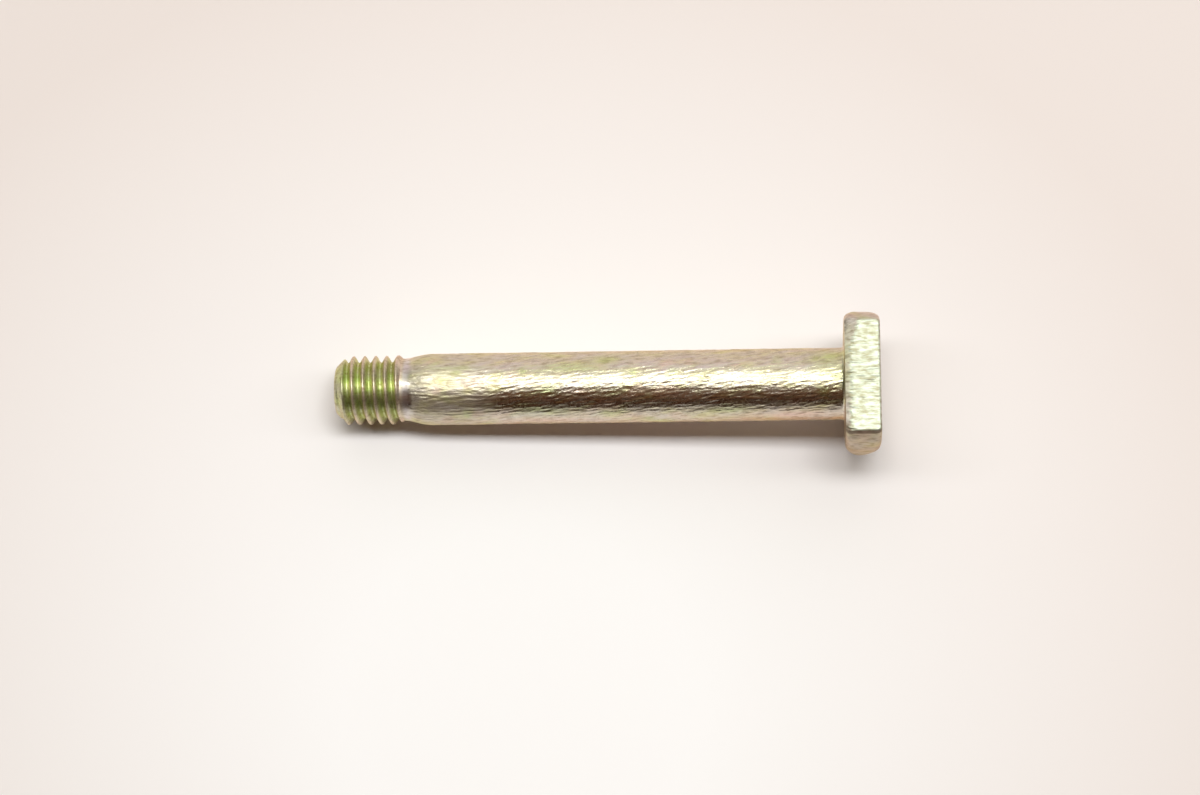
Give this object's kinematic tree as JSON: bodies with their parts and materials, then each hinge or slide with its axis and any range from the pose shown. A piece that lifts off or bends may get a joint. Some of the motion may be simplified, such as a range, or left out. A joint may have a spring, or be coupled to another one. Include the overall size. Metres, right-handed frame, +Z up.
{
  "type": "pivot bolt",
  "caption": "Pivot bolt with a round head that has one flat, a long plain shank, a short cone and a short rolled thread, zinc plated with a yellow chromate. It pins a lever and takes a nut.",
  "frame": {"origin": "on the table under the middle of the bolt as it lies at rest, at the bottom centre of its box", "axes": "+Z up from the table; +X runs along the bolt from the thread to the head, with the bolt's own axis rising about 4 degrees towards the head; the head's flat faces up; +Y across"},
  "size_m": [0.0614, 0.016, 0.0132],
  "materials": {
    "plated_steel": "zinc plate with a yellow, slightly iridescent chromate, semi-bright, with fine drawing marks along the shank"
  },
  "bodies": {
    "root": {"bolt": "plated_steel"}
  },
  "joints": []
}
